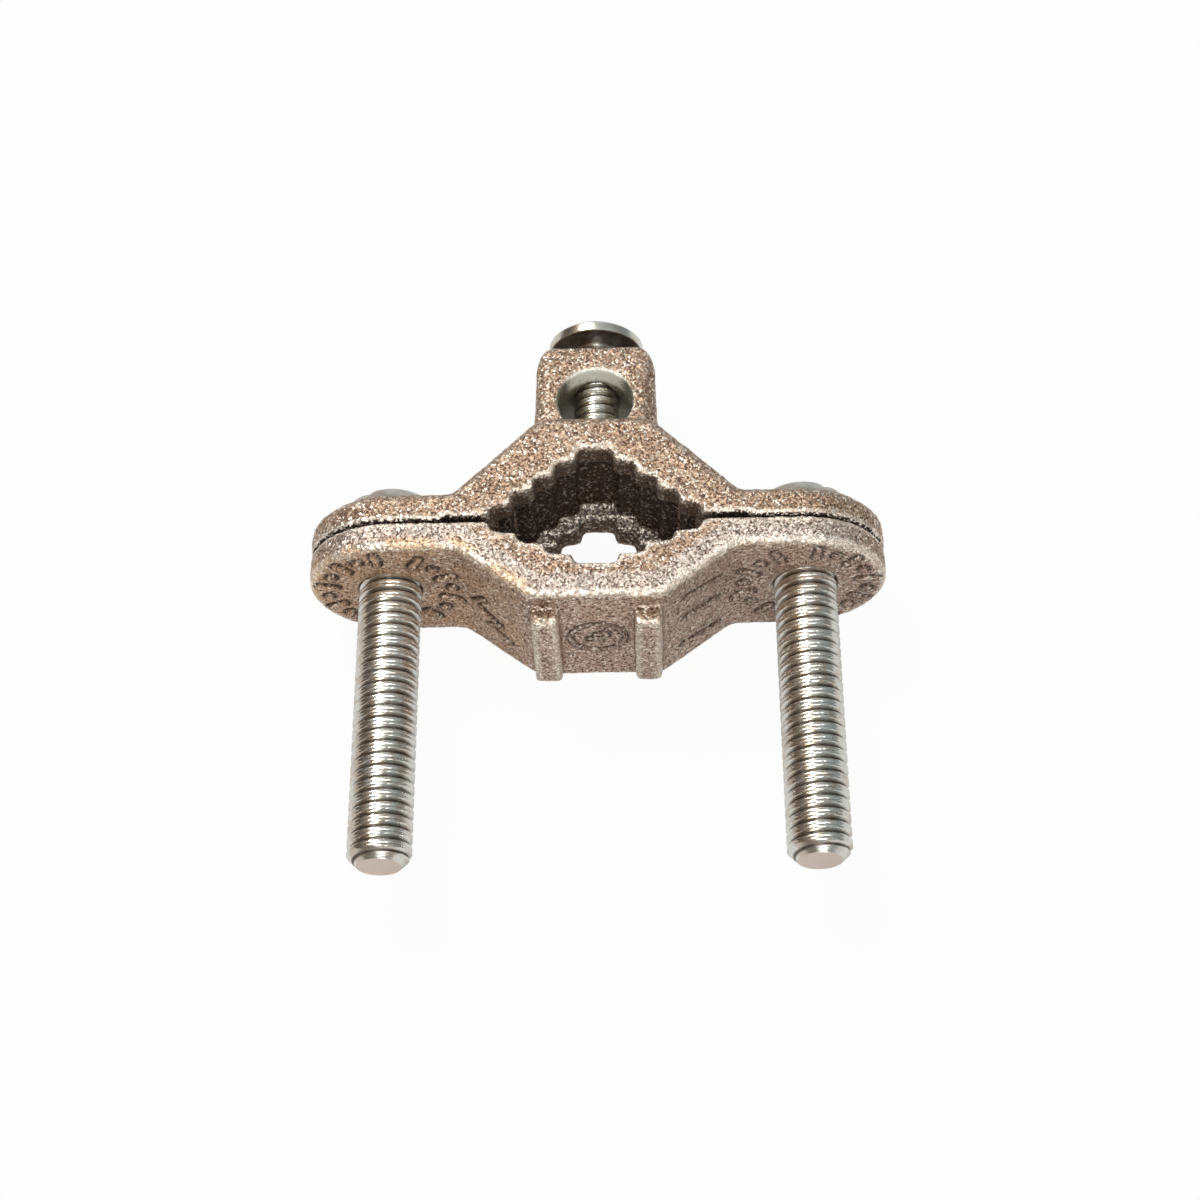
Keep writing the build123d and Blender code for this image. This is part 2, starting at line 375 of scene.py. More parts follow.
def cast_bronze(settings, name):
    """Sand cast bronze: a grain of small facets, painted glints, dark pits and tarnish, with
    painted shade, painted highlights and painted reflections.
    """
    material, graph = new_material(name)
    place = graph.millimetres()
    soot, worn, pale, dull, straw, bore, gleam = (graph.weight(key) for key in CAST_WEIGHTS)
    facet = graph.node("ShaderNodeTexVoronoi", None, {"Vector": place, "Scale": 4.7}, out="Color")
    chance = graph.node("ShaderNodeSeparateColor", None, {"Color": facet})
    fine = graph.noise(place, 4.2, 3.0, 0.65)
    blotch = graph.noise(place, 0.22, 4.0, 0.6)
    patch = graph.noise(graph.vector("ADD", place, (31.0, 17.0, 5.0)), 0.11, 3.0)
    pits = graph.step(fine, 0.52, 0.40) * 0.92
    # Painted glints on a share of the facets, with more of them on the rims that carry painted
    # highlights.
    glints = graph.step(chance + worn * 0.22, 0.79, 0.95)
    tint = (graph.step(patch, 0.52, 0.72) * 0.12 + straw).clamped() * (1.0 - pits)
    # Painted shade, with the painted glints left showing through it.
    shaded = soot * (1.0 - glints * (0.35 + worn * 0.65)).clamped()

    # Painted light on the lower jaw's flank band and on the grips' rib faces.
    tone = graph.mix(pale, rgba(settings.bronze), rgba(settings.pale))
    # Painted reflection tint on the undersides.
    tone = graph.mix(dull * 0.8, tone, rgba(settings.dull))
    tone = graph.mix(graph.step(blotch, 0.45, 0.75) * 0.25, tone, rgba(settings.pit))
    tone = graph.mix(pits, tone, rgba(settings.pit))
    tone = graph.mix(glints, tone, rgba(settings.glint))
    # Painted highlights along the rims.
    tone = graph.mix((worn * 0.4).clamped(), tone, rgba(settings.glint))
    tone = graph.mix(tint, tone, rgba(settings.straw))
    # Painted shade laid over the colour.
    tone = graph.mix(shaded, tone, rgba(settings.soot))
    tone = graph.mix(bore, tone, rgba(settings.bore))
    # Painted reflection at the wire hole's upper edge, made less metallic there.
    tone = graph.mix(gleam, tone, rgba(settings.gleam))

    bumped = graph.node("ShaderNodeBump", None, {
        "Strength": 0.9, "Distance": 0.09 * MM, "Height": fine * 1.4 + chance * 0.4}, out="Normal")
    tilt = graph.scaled(graph.vector("SUBTRACT", facet, (0.5, 0.5, 0.5)),
                        0.75 * (1.0 - bore) * (1.0 - glints * 0.6))
    normal = graph.node("ShaderNodeVectorMath", {"operation": "NORMALIZE"},
                        {0: graph.vector("ADD", bumped, tilt)})
    finish_material(graph, graph.node("ShaderNodeBsdfPrincipled", None, {
        "Base Color": tone,
        "Roughness": 0.40 + pits * 0.25 + shaded * 0.2 - glints * 0.14 - bore * 0.1,
        "Metallic": 0.92 - gleam * 0.7,
        "Normal": normal}))
    return material


def plated_steel(settings, name):
    """Bright zinc on rolled steel, with painted shade in the thread's root, under the head and on
    the dome, straw brown smudges, and a straw brown band down the left of the shank.
    """
    material, graph = new_material(name)
    place = graph.millimetres()
    root, sheared, handled = (graph.weight(key) for key in ("root", "sheared", "handled"))
    smudge = graph.noise(place, 0.7, 5.0, 0.6)
    streak = graph.noise(graph.vector("MULTIPLY", place, (1.0, 9.0, 1.0)), 1.3, 3.0)
    # Straw brown smudges, and the band down the left of the shank.
    stained = (graph.step(smudge + handled * 0.2, 0.46, 0.66) * 0.7).clamped()
    # Painted shade in the thread's root, under the head and on the dome.
    screw_shade = (graph.step(root, 0.50, 0.98) * (0.6 + smudge * 0.7)).clamped()

    tone = graph.mix(stained, rgba(settings.zinc), rgba(settings.stain))
    tone = graph.mix(screw_shade, tone, rgba(settings.screw_shade))
    tone = graph.mix(sheared, tone, rgba(settings.steel))

    normal = graph.node("ShaderNodeBump", None, {
        "Strength": 0.5, "Distance": 0.03 * MM, "Height": streak + smudge}, out="Normal")
    finish_material(graph, graph.node("ShaderNodeBsdfPrincipled", None, {
        "Base Color": tone,
        "Roughness": 0.15 + smudge * 0.14 + screw_shade * 0.25 + sheared * 0.15,
        "Metallic": 1.0 - sheared * 0.7,
        "Normal": normal}))
    return material


# --- meshes and objects ---------------------------------------------------------------------

def add_object(name, data):
    """Puts a mesh, lamp or camera into the scene."""
    made = bpy.data.objects.new(name, data)
    bpy.context.scene.collection.objects.link(made)
    return made


def hand_over(piece, node):
    """The piece moves with its node's body and stands for the node, which is hidden."""
    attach(piece, node)
    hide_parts(node)


def points_of(mesh):
    """The mesh's points as an array, in millimetres."""
    flat = np.empty(len(mesh.vertices) * 3)
    mesh.vertices.foreach_get("co", flat)
    return flat.reshape(-1, 3) / MM


def normals_of(mesh):
    """The directions the mesh's points look in, as an array."""
    flat = np.empty(len(mesh.vertices) * 3)
    mesh.vertices.foreach_get("normal", flat)
    return flat.reshape(-1, 3)


def set_points(mesh, points):
    """Moves the mesh's points to places given in millimetres."""
    mesh.vertices.foreach_set("co", (points * MM).ravel())
    mesh.update()


def set_weight(mesh, name, values):
    """Stores one value for each point, for Graph.weight to read."""
    attribute = mesh.attributes.new(name, "FLOAT", "POINT")
    attribute.data.foreach_set("value", np.asarray(values, np.float32))


def smooth_step(value, low, high):
    """0 at low, 1 at high and a smooth run between, where low may be the greater."""
    share = np.clip((value - low) / (high - low), 0, 1)
    return share * share * (3 - 2 * share)


def noise_field(points, size, seed):
    """Smooth noise from about -1 to 1 at each point, with lumps of the given size."""
    shift = Vector((seed * 7.3, seed * 3.1, seed * 5.7))
    return np.array([noise.noise(Vector(p) / size + shift) for p in points])


def softened(mesh, points, passes, share=1.0):
    """The points after each has moved half way to its neighbours' mean, so many times.

    A share, for all points or for each, makes the moves shorter. The array is changed in place.
    """
    edges = np.empty(len(mesh.edges) * 2, np.int32)
    mesh.edges.foreach_get("vertices", edges)
    first, second = edges[0::2], edges[1::2]
    count = len(points)
    joined = np.bincount(edges, minlength=count)
    share = np.broadcast_to(share, count) / 2
    for _ in range(passes):
        for axis in range(3):
            value = points[:, axis]
            total = np.bincount(first, value[second], count)
            total += np.bincount(second, value[first], count)
            points[:, axis] = value + share * (total / joined - value)
    return points


# --- cast marks -----------------------------------------------------------------------------

class Mark:
    """A raised cast mark on a flat face: a bar, a round stud where it has no length, or a ring."""

    FACE_REACH = 1.0                     # how far from its face a mark still acts
    FAR_OUT = 9.0

    def __init__(self, centre, along, outward, length=0.0, ring=0.0, width=0.5, strength=1.0):
        self.centre = np.array(centre)
        self.along = np.array(along)
        self.outward = np.array(outward)
        self.across = np.cross(self.along, self.outward)
        self.length, self.ring, self.width, self.strength = length, ring, width, strength

    def distance(self, points):
        """How far each point lies outside the mark's edge, with points off the face far out."""
        offset = points - self.centre
        along, across = offset @ self.along, offset @ self.across
        if self.ring:
            away = np.abs(np.hypot(along, across) - self.ring)
        else:
            away = np.hypot(np.maximum(np.abs(along) - self.length / 2, 0), across)
        off_face = np.abs(offset @ self.outward) > self.FACE_REACH
        return away - self.width / 2 + self.FAR_OUT * off_face


DOWN = (0, -1, 0)
MARK_CIRCLE = 6.35                       # radius of the marks' circle round a clamp screw
INNER_ARC = range(-52, 63, 19)           # degrees from the side that faces the middle
OUTER_ARC = range(98, 261, 18)
RIGHT_SLOPE_BARS = ((4.4, 4.2), (0.4, 4.0), (-5.4, 4.6))           # place along Z, length
LEFT_SLOPE_BARS = ((2.4, 0.4, 0.9), (3.4, -1.4, -0.5),             # way up from the foot, place
                   (4.2, -3.0, 0.8), (5.0, -4.4, -0.4))            # along Z, turn in radians


def ear_marks(side, sign):
    """Two arcs round a screw, under the lower ear: short bars with a stud between each two."""
    strength = 1.0 if side == "left" else 0.6
    axis = Vector((screw_axis_x(side), EAR_UNDERSIDE_Y, 0))
    marks = []
    for arc in (INNER_ARC, OUTER_ARC):
        for k, degrees in enumerate(arc):
            turn = math.radians(degrees)
            out = Vector((-sign * math.cos(turn), 0, math.sin(turn)))
            length, width = (0.0, 0.9) if k % 2 else (1.7, 0.6)
            marks.append(Mark(axis + out * MARK_CIRCLE, out, DOWN, length, width=width,
                              strength=strength))
    return marks


def slope_mark(sign, reach, z, length, lean, strength):
    """A bar on one of the lower jaw's slopes, so far from its foot and turned by so much."""
    rise = EAR_UNDERSIDE_Y - LOWER_FLAT_Y
    run = Vector((-sign * (SLOPE_FOOT_X - SLOPE_TOP_X), -rise, 0)).normalized()
    outward = Vector((-sign * run.y, sign * run.x, 0))
    foot = Vector((sign * SLOPE_FOOT_X, EAR_UNDERSIDE_Y, z))
    along = run * math.cos(lean) + Vector((0, 0, math.sin(lean)))
    return Mark(foot + run * reach, along, outward, length, width=0.4, strength=strength)


def lower_marks():
    """Plain bars, studs and a ring where such clamps carry cast lettering."""
    marks = []
    for side, sign in SIDES.items():
        marks += ear_marks(side, sign)
    middle = Vector((0, LOWER_FLAT_Y, -0.2))
    marks.append(Mark(middle, (1, 0, 0), DOWN, ring=2.75, width=0.28, strength=0.5))
    for k in (-1, 0, 1):
        centre = middle + Vector((0.35 * k, 0, 0.85 * k))
        length = 1.9 - 0.6 * abs(k)
        marks.append(Mark(centre, (0.94, 0, 0.34), DOWN, length, width=0.35, strength=0.6))
    for z, length in RIGHT_SLOPE_BARS:
        marks.append(slope_mark(SIDES["right"], 4.3, z, length, lean=0.15, strength=0.6))
    for reach, z, lean in LEFT_SLOPE_BARS:
        marks.append(slope_mark(SIDES["left"], reach, z, 2.2, lean, strength=0.8))
    return marks


def press_marks(points, normals, marks, height):
    """Raises the marks out of the skin; returns the points and the creases round the marks."""
    lift, crease = np.zeros(len(points)), np.zeros(len(points))
    for mark in marks:
        away = mark.distance(points)
        lift = np.maximum(lift, (1 - smooth_step(away, -0.1, 0.16)) * mark.strength)
        ditch = smooth_step(away, -0.08, 0.08) * (1 - smooth_step(away, 0.22, 0.5))
        crease = np.maximum(crease, ditch * (0.5 + 0.5 * mark.strength))
    crease *= 1 - smooth_step(lift, 0.3, 0.8)
    points += normals * ((lift - crease * 0.35) * height)[:, None]
    return points, crease


# --- places on the castings -----------------------------------------------------------------

SMOOTH_REACH = 3.4                       # from a clamp screw's axis, smooth up to here
GRAIN_REACH = 4.2                        # and at its full grain from here on
GRIP_HALF_X = 11.2                       # half the opening of both grips
GRIP_MARGIN_Z = 0.1                      # skin of the flanks that isn't part of a grip


def off_the_screws(points):
    """1 on the open skin, falling to 0 in the clamp screws' holes and round them."""
    reach = [np.hypot(points[:, 0] - screw_axis_x(side), points[:, 2]) for side in SIDES]
    return smooth_step(np.minimum(*reach), SMOOTH_REACH, GRAIN_REACH)


def drilled(points):
    """1 on the wall of the wire hole, 0 elsewhere."""
    reach = np.hypot(points[:, 0], points[:, 1] - WIRE_HOLE_Y)
    return 1 - smooth_step(reach, WIRE_HOLE_RADIUS + 0.12, WIRE_HOLE_RADIUS + 0.3)


def below_rim(points):
    """How far each point of the lower jaw lies in from its outer profile, seen along the rod."""
    x, y = np.abs(points[:, 0]), -points[:, 1]
    run = np.array((SLOPE_FOOT_X - SLOPE_TOP_X, EAR_UNDERSIDE_Y - LOWER_FLAT_Y))
    run /= np.hypot(*run)
    slope = (SLOPE_FOOT_X - x) * run[1] - (y + EAR_UNDERSIDE_Y) * run[0]
    return np.maximum(np.minimum(slope, -LOWER_FLAT_Y - y), -EAR_UNDERSIDE_Y - y)


def within_ears(points):
    """How far each point lies in from the jaws' outline, seen along the clamp screws."""
    beyond = np.maximum(np.abs(points[:, 0]) - EAR_CENTRE_X, 0)
    return FLANK_Z - np.hypot(beyond, points[:, 2])


def in_grip(jaw, points):
    """True on the jaw's teeth and in its hollow, false on its outer skin."""
    x, y = np.abs(points[:, 0]), jaw.way * points[:, 1]
    inside = (x * jaw.teeth_lean + y < jaw.teeth_line) & (x < GRIP_HALF_X) & (y < jaw.hollow_depth)
    return inside & (np.abs(points[:, 2]) < FLANK_Z - GRIP_MARGIN_Z)


# --- castings -------------------------------------------------------------------------------

WELD_DISTANCE = 1e-7                     # metres
GRAIN = ((5.0, 0.9), (1.3, 0.8), (0.5, 1.0))        # lumps' size, share of the grain's height
FLANK_MARGIN = 0.02                      # room kept inside the jaws' width
SWELL_PASSES = 14                        # of smoothing, to tell edges from flat faces


class Jaw(NamedTuple):
    """What sets one casting apart from the other."""

    node: str
    slot: str
    way: int               # which side of the parting it lies on, along Y
    teeth_lean: float      # just outside its teeth, lean times |x| plus |y| is the line's value
    teeth_line: float
    hollow_depth: float    # from the middle of the parting to the end of its hollow
    seed: int              # of its grain
    fettled: bool          # whether painted light brightens its flanks and rims


UPPER_JAW = Jaw("upper_jaw", "bronze_upper", way=1, teeth_lean=0.9, teeth_line=12.6,
                hollow_depth=10.6, seed=3, fettled=False)
LOWER_JAW = Jaw("lower_jaw", "bronze_lower", way=-1, teeth_lean=0.46, teeth_line=8.1,
                hollow_depth=6.9, seed=11, fettled=True)


def skin_of(node, step):
    """The node's own form as one even skin of small faces."""
    form = bmesh.new()
    form.from_mesh(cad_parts[node].data)
    bmesh.ops.remove_doubles(form, verts=form.verts, dist=WELD_DISTANCE)
    form.transform(Matrix.Scale(1 / MM, 4))
    mesh = bpy.data.meshes.new(node + "_form")
    form.to_mesh(mesh)
    form.free()
    rough = add_object(node + "_form", mesh)
    remesh = rough.modifiers.new("Skin", "REMESH")
    remesh.mode = "VOXEL"
    remesh.voxel_size = step / MM
    ready = rough.evaluated_get(bpy.context.evaluated_depsgraph_get())
    skin = bpy.data.meshes.new_from_object(ready)
    skin.transform(Matrix.Scale(MM, 4))
    bpy.data.objects.remove(rough)
    bpy.data.meshes.remove(mesh)
    return skin


def rough_skin(points, normals, grain, seed):
    """Moves the skin in and out by the sand's grain and by slow waves of the casting."""
    move = np.zeros(len(points))
    for k, (size, share) in enumerate(GRAIN):
        move += noise_field(points, size, seed + k) * grain * share
    move *= off_the_screws(points) * (1 - drilled(points))
    points += normals * move[:, None]
    edge = FLANK_Z - FLANK_MARGIN
    points[:, 2] = np.clip(points[:, 2], -edge, edge)
    return points


def glinting_rim(jaw, points, swell, inner):
    """Painted highlights on the rims: all round the jaw with lit flanks, and beside the teeth of
    the other.
    """
    depth = FLANK_Z - np.abs(points[:, 2])
    rim = smooth_step(swell, 0.015, 0.06) * (1 - inner * 0.7 * smooth_step(depth, 0.3, 0.9))
    if not jaw.fettled:
        by_teeth = np.abs(points[:, 0]) * 0.91 + points[:, 1] < 10.4
        rim *= np.where(by_teeth, 1.0, 1 - 0.8 * smooth_step(points[:, 1], 0.7, 1.3))
    return rim


def painted_shading(jaw, points, normals, inner, rib_face, far_rib, crease):
    """Painted shade: black in the hollow, on the far ribs, in the creases round the marks and
    along the edge of the parting face.
    """
    depth = FLANK_Z - np.abs(points[:, 2])
    hollow = inner * smooth_step(depth, 0.1, 1.2) * (0.50 + 0.30 * smooth_step(depth, 2.8, 4.0))
    # The gap at the parting gets painted shade.
    facing = (np.abs(points[:, 1]) < 0.6) & (-jaw.way * normals[:, 1] > 0.6)
    parting = (facing & ~in_grip(jaw, points)).astype(float)
    parting *= 0.95 - 0.45 * smooth_step(within_ears(points), 0.6, 2.4)
    # The creases round the marks get painted shade.
    soot = np.maximum(crease * 0.95, parting)
    return np.maximum(hollow * (1 - rib_face) + far_rib * 0.72, soot)


def flank_light_and_tint(jaw, points, normals, inner):
    """Painted light on the flanks' bright band, the straw tint of the left side, and painted shade
    on the ends of the pad ribs.
    """
    facing = np.abs(normals[:, 2])
    inset = below_rim(points)
    # The flank's bright band is painted light.
    flank = smooth_step(facing, 0.6, 0.9) * (1 - smooth_step(inset, 2.3, 2.8)) * (1 - inner)
    flank *= points[:, 1] > LOWER_FLAT_Y
    patchy = smooth_step(noise_field(points, 2.2, jaw.seed + 5), -0.35, 0.25)
    left_rim = smooth_step(-points[:, 0], 5.0, 8.0) * (1 - smooth_step(inset, 0.7, 1.7))
    left_rim *= patchy * smooth_step(facing, 0.2, 0.6)
    under_left = smooth_step(-normals[:, 1], 0.3, 0.8) * smooth_step(-points[:, 0], 6.0, 9.0)
    straw = np.maximum(left_rim * 0.65, under_left * (0.12 + 0.22 * patchy))
    # The pad ribs' ends get painted shade, returned as dusk.
    rib_ends = smooth_step(facing, 0.6, 0.9) * (points[:, 1] < LOWER_FLAT_Y)
    return flank, straw, rib_ends * 0.22


def finish_of(jaw, points, normals, swell, crease):
    """Every weight of the casting's finish, by name."""
    inner = in_grip(jaw, points).astype(float)
    # The grip's rib faces take painted light.
    rib_face = inner * smooth_step(np.abs(normals[:, 2]), 0.5, 0.8)
    far_rib = rib_face * (points[:, 2] < 0)
    rim = glinting_rim(jaw, points, swell, inner)
    soot = painted_shading(jaw, points, normals, inner, rib_face, far_rib, crease)
    flank = straw = np.zeros(len(points))
    if jaw.fettled:
        flank, straw, dusk = flank_light_and_tint(jaw, points, normals, inner)
        soot = np.maximum(soot, dusk)
    bore = drilled(points) * (np.abs(points[:, 2]) < LUG_FACE_Z + 0.05)
    ceiling = smooth_step(points[:, 1] - WIRE_HOLE_Y, 2.0, 3.2)
    return {
        "soot": soot,
        # Painted highlights on the rims, and painted glints on the far ribs.
        "worn": np.maximum(rim, far_rib * 1.8),
        "pale": np.maximum(flank * 0.85, rib_face),
        # Faces looking down take the painted reflection tint.
        "dull": smooth_step(-normals[:, 1], 0.3, 0.8) * (1 - inner) * (1 - rim),
        "straw": straw,
        "bore": bore,
        # The wire hole's upper front edge takes the painted reflection.
        "gleam": bore * ceiling * smooth_step(points[:, 2], 2.4, 3.4),
    }


def dress_jaw(jaw, settings, marks):
    """Makes one casting: its skin, its grain, its marks and the weights of its finish."""
    mesh = skin_of(jaw.node, settings.skin_step)
    points = softened(mesh, points_of(mesh), settings.edge_passes)
    points = softened(mesh, points, settings.tooth_passes, in_grip(jaw, points).astype(float))
    set_points(mesh, points)
    normals = normals_of(mesh)
    slack = points - softened(mesh, points.copy(), SWELL_PASSES)
    swell = (slack * normals).sum(1)
    points, crease = press_marks(points, normals, marks, settings.mark_height / MM)
    points = rough_skin(points, normals, settings.grain_height / MM, jaw.seed)
    set_points(mesh, points)
    finish = finish_of(jaw, points, normals, swell, crease)
    for name in CAST_WEIGHTS:
        set_weight(mesh, name, finish[name])
    mesh.shade_smooth()
    mesh.materials.append(cast_bronze(settings, jaw.node + "_bronze"))
    hand_over(add_object(jaw.node + "_casting", mesh), jaw.node)


# --- screws ---------------------------------------------------------------------------------

AROUND = 84                              # points in each ring of a screw
RINGS_A_TURN = 18                        # rings in each turn of the thread
DOME_RINGS = 30
TIP_SHARES = (0.35, 0.7, 0.92, 1.0)      # rings of the tip's flat end, as shares of its radius
SEAT_SHARES = (0.15, 0.6, 0.93)          # rings of the head's underside, from shank to rim


def thread_ridge(phase):
    """Height of a rolled thread, root 0 and crest 1: narrow roots, a fine seam in flat crests."""
    from_root = np.abs(2 * (phase % 1.0) - 1)
    return smooth_step(from_root, 0.03, 0.54) - 0.2 * smooth_step(from_root, 0.84, 0.97)


def ring_faces(rings):
    """Faces between successive rings of points, with a fan at each end."""
    faces = []
    for r in range(rings - 1):
        base = 1 + r * AROUND
        for i in range(AROUND):
            j = (i + 1) % AROUND
            faces.append((base + i, base + j, base + AROUND + j, base + AROUND + i))
    last = 1 + (rings - 1) * AROUND
    top = last + AROUND
    faces += [(0, 1 + (i + 1) % AROUND, 1 + i) for i in range(AROUND)]
    faces += [(top, last + i, last + (i + 1) % AROUND) for i in range(AROUND)]
    return faces


def screw_points(form, tip, top, head_radius, pitch, depth):
    """Rings from the tip up the thread, out under the head and over its dome.

    Returns the points, how deep each lies in the thread's root, which also weighs the painted
    shade under the head and on the dome, and the number of rings.
    """
    turn = np.arange(AROUND) / AROUND
    angle = 2 * math.pi * turn
    rows, roots = [], []

    def ring(y, radius, root):
        radius = np.broadcast_to(radius, AROUND)
        across, along = radius * np.sin(angle), radius * np.cos(angle)
        rows.append(np.stack([across, np.full(AROUND, y), along], 1))
        roots.append(np.broadcast_to(root, AROUND))

    seat = form.seat_y
    tip_radius = form.radius - form.tip_chamfer
    for share in TIP_SHARES:
        ring(tip, tip_radius * share, 0.15)
    steps = int((seat - tip) / pitch * RINGS_A_TURN)
    for k in range(1, steps):
        y = tip + (seat - tip) * k / steps
        fade = 1 - smooth_step(np.array(y), seat - 1.4 * pitch, seat - 0.4 * pitch)
        root = (1 - thread_ridge((y - tip) / pitch - turn)) * fade
        ring(y, np.minimum(form.radius - depth * root, tip_radius + (y - tip)), root)
    # Under the head the rings carry high root weights, which paint shade there.
    ring(seat, form.radius, 0.6)
    for share in SEAT_SHARES:
        ring(seat, form.radius + (head_radius - form.radius) * share, 0.95)
    ring(seat + 0.06, head_radius - 0.02, 0.6)
    ring(seat + 0.16, head_radius, 0.0)
    ring(seat + form.rim, head_radius, 0.0)
    dome = top - seat - form.rim
    dome_radius = (head_radius ** 2 + dome ** 2) / (2 * dome)
    spread = math.asin(min(1.0, head_radius / dome_radius))
    # The dome's rings carry a root weight, which paints shade that darkens the dome.
    for k in range(1, DOME_RINGS):
        lean = spread * (1 - k / DOME_RINGS)
        ring(top - dome_radius + dome_radius * math.cos(lean), dome_radius * math.sin(lean), 0.72)
    points = np.vstack([[[0, tip, 0]], *rows, [[0, top, 0]]])
    return points, np.concatenate([[0.15], *roots, [0.0]]), len(rows)


def cut_slot(piece, form, axis_x, reach, turn):
    """Cuts the driver slot across the head and breaks its edges."""
    cutter_mesh = bpy.data.meshes.new("slot_cutter")
    block = bmesh.new()
    bmesh.ops.create_cube(block, size=1.0)
    size = (form.slot_width * MM, 2 * form.slot_depth * MM, reach * MM)
    bmesh.ops.scale(block, vec=size, verts=block.verts)
    block.transform(Matrix.Rotation(turn, 4, "Y"))
    block.transform(Matrix.Translation((0, form.crown_y * MM, 0)))
    block.to_mesh(cutter_mesh)
    block.free()
    cutter = add_object("slot_cutter", cutter_mesh)
    cutter.location = (axis_x * MM, 0, 0)
    cut = piece.modifiers.new("Slot", "BOOLEAN")
    cut.operation = "DIFFERENCE"
    cut.solver = "EXACT"
    cut.object = cutter
    bevel = piece.modifiers.new("Broken edges", "BEVEL")
    bevel.width = 0.09 * MM
    bevel.segments = 2
    bevel.limit_method = "ANGLE"
    bevel.angle_limit = math.radians(52)
    ready = piece.evaluated_get(bpy.context.evaluated_depsgraph_get())
    finished = bpy.data.meshes.new_from_object(ready)
    piece.modifiers.clear()
    piece.data = finished
    bpy.data.objects.remove(cutter)
    bpy.data.meshes.remove(cutter_mesh)


def handled(points, axis_x, tip):
    """A brown band down the left of the shank, strongest near the tip."""
    reach = np.hypot(points[:, 0] - axis_x, points[:, 2])
    leftward = (axis_x - points[:, 0]) / np.maximum(reach, 0.1)
    band = smooth_step(leftward, 0.05, 0.45) * (1 - smooth_step(leftward, 0.72, 0.9))
    return band * (0.75 + 0.5 * smooth_step(points[:, 1], tip + 6, tip + 1))


def make_screw(node, form, pitch, depth, material):
    """One threaded, slotted screw on the axis of its node."""
    low, high = node_box(node)
    axis_x = (low.x + high.x) / 2
    head_radius = (high.x - low.x) / 2
    points, root, rings = screw_points(form, low.y, high.y, head_radius, pitch / MM, depth / MM)
    points[:, 0] += axis_x
    mesh = bpy.data.meshes.new(node + "_steel")
    mesh.from_pydata((points * MM).tolist(), [], ring_faces(rings))
    set_weight(mesh, "root", root)
    set_weight(mesh, "sheared", points[:, 1] < low.y + 0.02)
    set_weight(mesh, "handled", handled(points, axis_x, low.y))
    mesh.update()
    piece = add_object(node + "_steel", mesh)
    cut_slot(piece, form, axis_x, 4 * head_radius, math.radians(form.slot_turn))
    piece.data.shade_smooth()
    piece.data.set_sharp_from_angle(angle=math.radians(38))
    piece.data.materials.clear()
    piece.data.materials.append(material)
    hand_over(piece, node)


# --- stage ----------------------------------------------------------------------------------

def add_lamp(lamp, power):
    light = bpy.data.lights.new(lamp.name, "AREA")
    light.shape = "DISK"
    light.size = lamp.size
    light.energy = power
    light.color = lamp.colour
    holder = add_object(lamp.name, light)
    holder.location = lamp.place
    holder.rotation_euler = (-Vector(lamp.place)).to_track_quat("-Z", "Y").to_euler()


def paint_floor(settings):
    """Pale matt floor that reads as white to the eye and in the metal, shadow kept."""
    material, graph = new_material("pale_floor")
    seen = graph.node("ShaderNodeLightPath", out="Is Camera Ray")
    glossy, through = seen.sibling("Is Glossy Ray"), seen.sibling("Is Transmission Ray")
    matt = graph.node("ShaderNodeBsdfDiffuse", None, {"Color": rgba(settings.floor_tone)})
    white = graph.node("ShaderNodeEmission", None, {"Color": WHITE, "Strength": 1.0})
    share = (seen * 0.95 + glossy * 0.2 + through * 0.8).clamped()
    finish_material(graph, graph.node("ShaderNodeMixShader", None, {0: share, 1: matt, 2: white}))
    return material


def lay_floor(settings):
    """The floor just under the clamp."""
    level = CAD_BOX[0].z - FLOOR_DROP * MM
    ways = [(-1, -1), (1, -1), (1, 1), (-1, 1)]
    corners = [(x * FLOOR_HALF, y * FLOOR_HALF, level) for x, y in ways]
    mesh = bpy.data.meshes.new("floor")
    mesh.from_pydata(corners, [], [range(4)])
    mesh.materials.append(paint_floor(settings))
    add_object("floor", mesh)


def light_room(settings):
    """Room light: brightest overhead, from the viewer's side and from the right, warm at the left.

    The camera itself sees plain white past the floor's edge.
    """
    world = bpy.data.worlds.new("studio_room")
    world.use_nodes = True
    graph = Graph(world.node_tree)
    way = graph.node("ShaderNodeTexCoord", out="Generated")
    across = graph.node("ShaderNodeSeparateXYZ", None, {0: way})
    ahead, height = across.sibling("Y"), across.sibling("Z")
    seen = graph.node("ShaderNodeLightPath", out="Is Camera Ray")
    overhead = graph.step(height, 0.35, 0.95) * 0.76
    behind = graph.step(0.0 - ahead, 0.2, 1.0) * 0.22
    right = graph.step(across, 0.2, 0.9) * 0.3
    level = (0.24 + overhead + behind + right).clamped()
    side = graph.mix(graph.step(across, -0.7, 0.7), ROOM_LEFT, ROOM_RIGHT)
    tone = graph.mix(seen, graph.mix(level, BLACK, side), WHITE)
    strength = settings.sky + seen * (1.0 - settings.sky)
    back = graph.node("ShaderNodeBackground", None, {"Color": tone, "Strength": strength})
    graph.node("ShaderNodeOutputWorld", None, {"Surface": back})
    bpy.context.scene.world = world


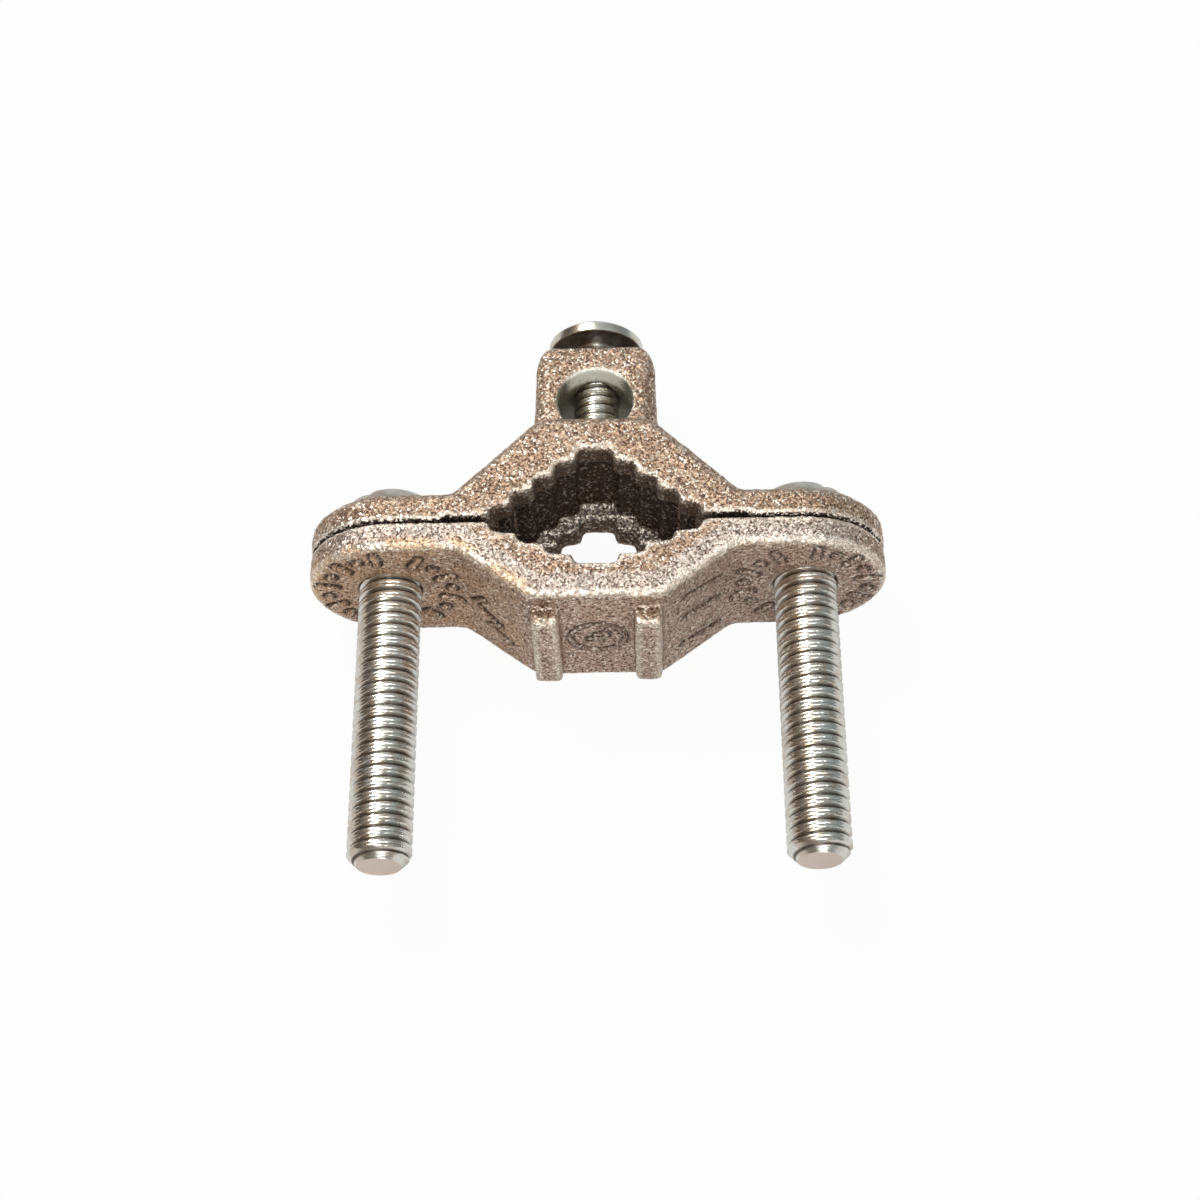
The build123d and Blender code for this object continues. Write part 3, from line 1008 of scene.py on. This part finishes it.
def place_camera(settings):
    dip, turn, roll = settings.camera_dip, settings.camera_turn, settings.camera_roll
    level = math.cos(dip)
    ahead = Vector((math.sin(turn) * level, math.cos(turn) * level, -math.sin(dip)))
    right = Vector((math.cos(turn), -math.sin(turn), 0))
    above = right.cross(ahead)
    tilted_right = right * math.cos(roll) + above * math.sin(roll)
    tilted_above = above * math.cos(roll) - right * math.sin(roll)
    camera = bpy.data.cameras.new("camera")
    camera.lens = settings.camera_lens
    camera.sensor_width = 36.0
    camera.clip_start = 0.01
    camera.clip_end = 10.0
    holder = add_object("camera", camera)
    facing = Matrix((tilted_right, tilted_above, -ahead)).transposed()
    holder.matrix_world = Matrix.Translation(settings.camera_place) @ facing.to_4x4()
    bpy.context.scene.camera = holder


# --- operators ------------------------------------------------------------------------------

class CLAMP_OT_castings(bpy.types.Operator):
    """Dress both jaws in sand cast bronze"""

    bl_idname = "clamp.castings"
    bl_label = "Cast jaws"

    def execute(self, context):
        settings = context.scene.clamp_casting
        dress_jaw(UPPER_JAW, settings, [])
        dress_jaw(LOWER_JAW, settings, lower_marks())
        return {"FINISHED"}


class CLAMP_OT_clamp_screws(bpy.types.Operator):
    """Turn the two long clamp screws with their rolled threads and slotted round heads"""

    bl_idname = "clamp.clamp_screws"
    bl_label = "Clamp screws"

    def execute(self, context):
        settings = context.scene.clamp_screws
        material = plated_steel(settings, "clamp_zinc")
        for side, sign in SIDES.items():
            form = CLAMP_SCREW._replace(slot_turn=sign * CLAMP_SCREW.slot_turn)
            make_screw("clamp_screw_" + side, form,
                       settings.clamp_pitch, settings.clamp_depth, material)
        return {"FINISHED"}


class CLAMP_OT_wire_screw(bpy.types.Operator):
    """Turn the short wire screw"""

    bl_idname = "clamp.wire_screw"
    bl_label = "Wire screw"

    def execute(self, context):
        settings = context.scene.clamp_screws
        make_screw("wire_screw", WIRE_SCREW,
                   settings.wire_pitch, settings.wire_depth, plated_steel(settings, "wire_zinc"))
        return {"FINISHED"}


class CLAMP_OT_stage(bpy.types.Operator):
    """Set up the floor, the lights and the camera"""

    bl_idname = "clamp.stage"
    bl_label = "Stage"

    def execute(self, context):
        settings = context.scene.clamp_stage
        lay_floor(settings)
        light_room(settings)
        for lamp in LAMPS:
            add_lamp(lamp, getattr(settings, lamp.power))
        place_camera(settings)
        context.scene.view_settings.view_transform = "Standard"
        return {"FINISHED"}


class CLAMP_PT_panel(bpy.types.Panel):
    """Lists what the clamp is built from"""

    bl_idname = "CLAMP_PT_panel"
    bl_label = "Earth rod clamp"
    bl_space_type = "VIEW_3D"
    bl_region_type = "UI"
    bl_category = "Clamp"

    def draw(self, context):
        for operator in OPERATORS:
            self.layout.operator(operator.bl_idname)
        for name in SETTINGS:
            group = getattr(context.scene, name)
            for key in group.bl_rna.properties.keys():
                if key not in ("name", "rna_type"):
                    self.layout.prop(group, key)


SETTINGS = {
    "clamp_casting": CastingSettings,
    "clamp_screws": ScrewSettings,
    "clamp_stage": StageSettings,
}
OPERATORS = (CLAMP_OT_castings, CLAMP_OT_clamp_screws, CLAMP_OT_wire_screw, CLAMP_OT_stage)
CLASSES = (*SETTINGS.values(), *OPERATORS, CLAMP_PT_panel)


def register():
    for made in CLASSES:
        bpy.utils.register_class(made)
    for name, group in SETTINGS.items():
        setattr(bpy.types.Scene, name, PointerProperty(type=group))


def unregister():
    for name in SETTINGS:
        delattr(bpy.types.Scene, name)
    for made in reversed(CLASSES):
        bpy.utils.unregister_class(made)


def main():
    register()
    bpy.ops.clamp.castings()
    bpy.ops.clamp.clamp_screws()
    bpy.ops.clamp.wire_screw()
    bpy.ops.clamp.stage()


if __name__ == "__main__":
    main()
